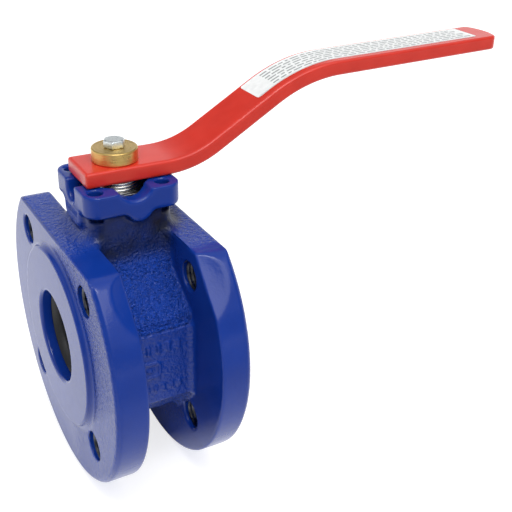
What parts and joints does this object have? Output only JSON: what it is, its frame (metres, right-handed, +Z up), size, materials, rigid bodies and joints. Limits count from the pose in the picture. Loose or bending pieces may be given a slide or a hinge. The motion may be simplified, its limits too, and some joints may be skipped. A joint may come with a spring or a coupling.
{
  "type": "wafer ball valve",
  "caption": "Compact flanged ball valve with D-shaped flanges, stem neck, square actuator pad and a bent flat-bar hand lever; the lever turns the ball a quarter turn.",
  "frame": {"origin": "centre of the ball, on the pipe axis and the stem axis", "axes": "+X along the pipe from inlet to outlet and along the open lever, +Z up the stem, -Y where the lever points when closed"},
  "size_m": [0.2823, 0.165, 0.2205],
  "materials": {
    "blue_paint": "royal blue gloss paint over cast iron, orange peel on cast faces",
    "red_coating": "glossy red coating on flat bar",
    "label": "white printed film, satin",
    "brass": "turned brass, fine lathe rings",
    "zinc_plate": "bright zinc plated",
    "polished_steel": "polished stainless steel",
    "turned_steel": "turned stainless steel",
    "spring_steel": "bright spring steel",
    "dark_steel": "dark phosphated steel",
    "filled_ptfe": "carbon-filled PTFE, satin",
    "ptfe": "white PTFE",
    "seal_rubber": "black fluorocarbon rubber"
  },
  "bodies": {
    "valve_body": {"body": "blue_paint", "retainer_ring": "blue_paint", "retainer_gasket": "ptfe", "seat_inlet": "filled_ptfe", "seat_outlet": "filled_ptfe", "thrust_washer": "ptfe", "packing_ring_lower": "ptfe", "packing_ring_middle": "ptfe", "packing_ring_upper": "ptfe", "gland_bush": "brass", "gland_nut": "dark_steel", "stop_pin": "turned_steel"},
    "operator": {"stem": "turned_steel", "stem_o_ring_lower": "seal_rubber", "stem_o_ring_upper": "seal_rubber", "spring_shim": "spring_steel", "disc_spring_lower": "spring_steel", "disc_spring_middle": "spring_steel", "disc_spring_upper": "spring_steel", "lever": "red_coating", "lever_label": "label", "clamp_cap": "brass", "lever_bolt": "zinc_plate"},
    "ball": {"ball": "polished_steel"}
  },
  "joints": [
    {"name": "lever_turn", "type": "hinge", "parent": "valve_body", "child": "operator", "pos_m": [0, 0, 0], "axis": [0, 0, 1], "range_deg": [-90, 0]},
    {"name": "ball_turn", "type": "hinge", "parent": "valve_body", "child": "ball", "pos_m": [0, 0, 0], "axis": [0, 0, 1], "range_deg": [-90, 0]}
  ],
  "couplings": [
    {"joint": "ball_turn", "follows": "lever_turn", "ratio": 1}
  ]
}
